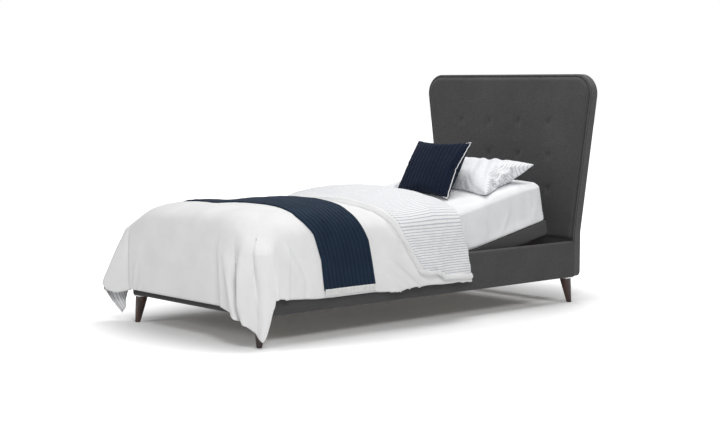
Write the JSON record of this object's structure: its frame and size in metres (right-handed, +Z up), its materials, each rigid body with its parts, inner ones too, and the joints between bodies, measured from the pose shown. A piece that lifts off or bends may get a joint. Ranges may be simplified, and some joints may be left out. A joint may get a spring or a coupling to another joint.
{
  "type": "adjustable bed",
  "caption": "Upholstered single bed with a tufted flared headboard, tapered legs and an electric base whose head, thigh and calf sections lift under a dressed mattress.",
  "frame": {"origin": "on the floor under the middle of the bed's overall box", "axes": "+X to the side the picture shows, +Y from the foot to the headboard, +Z up"},
  "size_m": [1.2844, 2.331, 1.283],
  "materials": {
    "charcoal_fabric": "woven upholstery",
    "band_fabric": "woven upholstery",
    "panel_wood": "raw panel",
    "plywood": "sanded plywood",
    "slat_wood": "sanded beech",
    "dark_wood": "satin dark stain",
    "zinc_steel": "zinc plated",
    "black_steel": "satin black",
    "rod_steel": "polished",
    "housing_plastic": "fine grain",
    "black_rubber": "matte",
    "sheet_cotton": "smooth cotton",
    "duvet_cotton": "smooth cotton",
    "throw_knit": "ribbed weave",
    "fringe_cotton": "cotton yarn",
    "pillow_cotton": "striped cotton",
    "cushion_velvet": "channelled velvet"
  },
  "bodies": {
    "bed": {"headboard_core": "panel_wood", "headboard_pad": "charcoal_fabric", "headboard_band": "band_fabric", "headboard_welt": "band_fabric", "headboard_buttons": "charcoal_fabric", "headboard_back": "charcoal_fabric", "rail_cores": "panel_wood", "rail_cover_left": "charcoal_fabric", "rail_cover_right": "charcoal_fabric", "rail_cover_foot": "charcoal_fabric", "ledger_cleats": "panel_wood", "slats": "slat_wood", "leg_foot_left": "dark_wood", "leg_foot_right": "dark_wood", "leg_head_left": "dark_wood", "leg_head_right": "dark_wood", "leg_plates": "zinc_steel", "leg_glides": "black_rubber", "corner_brackets": "zinc_steel", "corner_bolts": "zinc_steel", "base_side_tubes": "black_steel", "base_cross_tubes": "black_steel", "base_feet": "black_rubber", "hinge_lugs": "black_steel", "hinge_pins": "zinc_steel", "seat_board": "plywood", "seat_border": "charcoal_fabric", "seat_frame": "black_steel", "head_actuator": "housing_plastic", "thigh_actuator": "housing_plastic", "actuator_motors": "housing_plastic", "actuator_brackets": "black_steel", "control_box": "housing_plastic", "mattress_seat": "sheet_cotton", "mattress_waist": "sheet_cotton", "duvet_seat": "duvet_cotton", "duvet_fold": "duvet_cotton"},
    "head_section": {"head_board": "plywood", "head_border": "charcoal_fabric", "head_frame": "black_steel", "mattress_head": "sheet_cotton", "pillow": "pillow_cotton", "cushion": "cushion_velvet", "cushion_piping": "fringe_cotton"},
    "thigh_section": {"thigh_board": "plywood", "thigh_border": "charcoal_fabric", "thigh_frame": "black_steel", "mattress_thigh": "sheet_cotton", "mattress_hip": "sheet_cotton", "duvet_thigh": "duvet_cotton"},
    "calf_section": {"calf_board": "plywood", "calf_border": "charcoal_fabric", "calf_frame": "black_steel", "mattress_calf": "sheet_cotton", "duvet_calf": "duvet_cotton", "throw": "throw_knit", "throw_fringe": "fringe_cotton"},
    "calf_links": {"link_arms": "black_steel"},
    "head_actuator_rod": {"head_rod": "rod_steel"},
    "thigh_actuator_rod": {"thigh_rod": "rod_steel"}
  },
  "joints": [
    {"name": "head_lift", "type": "hinge", "parent": "bed", "child": "head_section", "pos_m": [0, 0.2725, 0.32], "axis": [1, 0, 0], "range_deg": [-12, 33], "deforming": ["mattress_waist", "duvet_fold"]},
    {"name": "thigh_lift", "type": "hinge", "parent": "bed", "child": "thigh_section", "pos_m": [0, -0.1275, 0.32], "axis": [-1, 0, 0], "range_deg": [0, 30], "deforming": ["mattress_hip", "duvet_thigh"]},
    {"name": "knee", "type": "hinge", "parent": "thigh_section", "child": "calf_section", "pos_m": [0, -0.4625, 0.262], "axis": [-1, 0, 0], "range_deg": [-30, 0]},
    {"name": "link_swing", "type": "hinge", "parent": "bed", "child": "calf_links", "pos_m": [0, -0.4325, 0.308], "axis": [-1, 0, 0], "range_deg": [0, 30]},
    {"name": "head_rod_travel", "type": "slide", "parent": "bed", "child": "head_actuator_rod", "axis": [0, 1, 0], "range_m": [-0.0128, 0.035]},
    {"name": "thigh_rod_travel", "type": "slide", "parent": "bed", "child": "thigh_actuator_rod", "axis": [0, -1, 0], "range_m": [0, 0.0323]}
  ],
  "couplings": [
    {"joint": "knee", "follows": "thigh_lift", "ratio": -1},
    {"joint": "link_swing", "follows": "thigh_lift", "ratio": 1},
    {"joint": "head_rod_travel", "follows": "head_lift", "m_per_rad": 0.060419},
    {"joint": "thigh_rod_travel", "follows": "thigh_lift", "m_per_rad": 0.061294}
  ]
}
